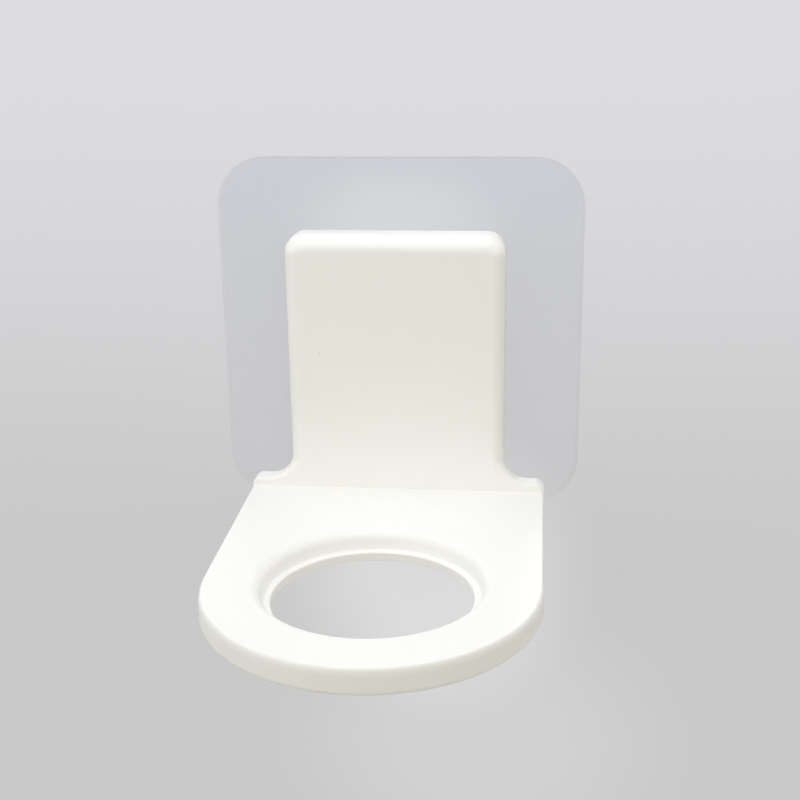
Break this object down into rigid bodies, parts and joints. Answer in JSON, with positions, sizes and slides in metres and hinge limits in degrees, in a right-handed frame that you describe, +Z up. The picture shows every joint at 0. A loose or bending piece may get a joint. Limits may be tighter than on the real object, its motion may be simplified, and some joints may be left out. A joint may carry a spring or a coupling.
{
  "type": "wall-mounted bottle holder",
  "caption": "Wall-mounted bottle holder: a white moulded bracket with a round dished hole in its shelf, bonded to a clear square adhesive sheet.",
  "frame": {"origin": "on the wall, at the middle of the sheet's height, in the bracket's middle plane", "axes": "+Z up, +Y into the wall, +X to the right as seen from the room"},
  "size_m": [0.0798, 0.0887, 0.079],
  "materials": {
    "white_plastic": "moulded white, satin",
    "pad": "matte double-sided pad",
    "clear_sheet": "clear, smooth",
    "clear_gel": "clear, tacky"
  },
  "bodies": {
    "root": {"holder_bracket": "white_plastic", "bonding_pad": "pad", "backing_sheet": "clear_sheet", "wall_adhesive": "clear_gel"}
  },
  "joints": []
}
